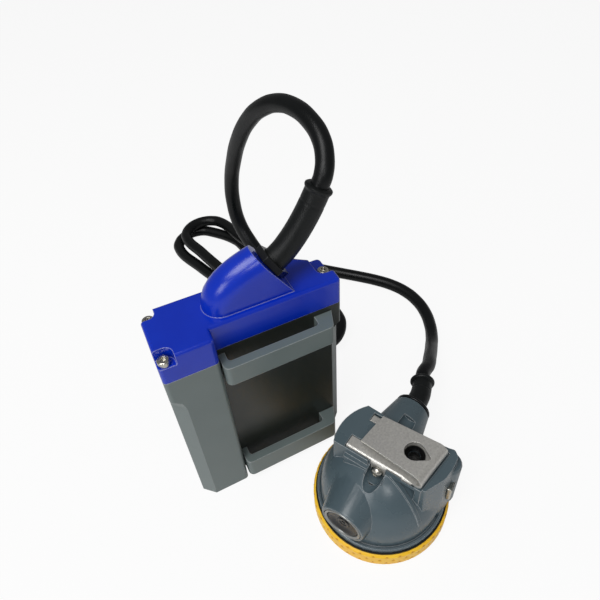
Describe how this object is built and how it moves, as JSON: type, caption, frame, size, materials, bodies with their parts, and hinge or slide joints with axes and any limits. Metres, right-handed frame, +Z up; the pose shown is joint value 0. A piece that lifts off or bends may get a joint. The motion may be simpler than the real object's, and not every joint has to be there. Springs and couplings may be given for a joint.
{
  "type": "miner's cap lamp",
  "caption": "Corded cap lamp: a slim battery box with belt loops and a hooded cord outlet, a folded cord, and a domed lamp head with a side switch and a folded helmet clip.",
  "frame": {"origin": "middle of the battery box's underside (the box's full width and depth, without its belt loops), on the floor", "axes": "+Z up, the way the battery box stands; +X to the right seen from the box's front, towards the lamp head; the box's front with the belt loops faces -Y"},
  "size_m": [0.1919, 0.316, 0.1896],
  "materials": {
    "grey_plastic": "satin",
    "blue_plastic": "gloss",
    "yellow_plastic": "satin",
    "black_rubber": "matte",
    "cord_jacket": "satin",
    "hank_jacket": "satin",
    "steel": "satin",
    "cell_can": "satin",
    "white_plastic": "matte",
    "nickel": "polished",
    "circuit_board": "satin",
    "foam": "matte",
    "clear_lens": "gloss",
    "reflector_coat": "polished",
    "heat_sink_metal": "satin",
    "black_plastic": "satin"
  },
  "bodies": {
    "lamp": {"battery_case": "grey_plastic", "battery_lid": "blue_plastic", "lid_gasket": "black_rubber", "lid_screw_1": "steel", "lid_screw_2": "steel", "lid_screw_3": "steel", "cell_1": "cell_can", "cell_2": "cell_can", "cell_3": "cell_can", "cell_4": "cell_can", "cell_holder_left": "white_plastic", "cell_holder_right": "white_plastic", "cell_strip_left": "nickel", "cell_strip_right": "nickel", "protection_board": "circuit_board", "foam_pad": "foam", "battery_gland_nut": "black_plastic", "battery_strain_relief": "black_rubber", "cord_loop": "cord_jacket", "cord_lead": "cord_jacket", "cord_hank": "hank_jacket", "bezel_ring": "yellow_plastic", "lens": "clear_lens", "lens_gasket": "black_rubber", "bezel_gasket": "black_rubber", "reflector": "reflector_coat", "led_board": "white_plastic", "driver_board": "circuit_board", "heat_sink": "heat_sink_metal", "switch_ring": "steel", "switch_spring": "steel", "switch_body": "black_plastic", "helmet_clip": "steel", "clip_screw_front": "steel", "clip_screw_rear": "steel", "head_shell": "grey_plastic", "charge_contact_left": "steel", "charge_contact_right": "steel", "head_gland_nut": "black_plastic", "head_strain_relief": "black_rubber"},
    "switch": {"switch_button": "black_plastic"}
  },
  "joints": [
    {"name": "switch_press", "type": "slide", "parent": "lamp", "child": "switch", "axis": [0.8813, 0.4726, 0], "range_m": [0, 0.0015], "stiffness_N_per_m": 2000, "deforming": ["switch_spring"]}
  ]
}
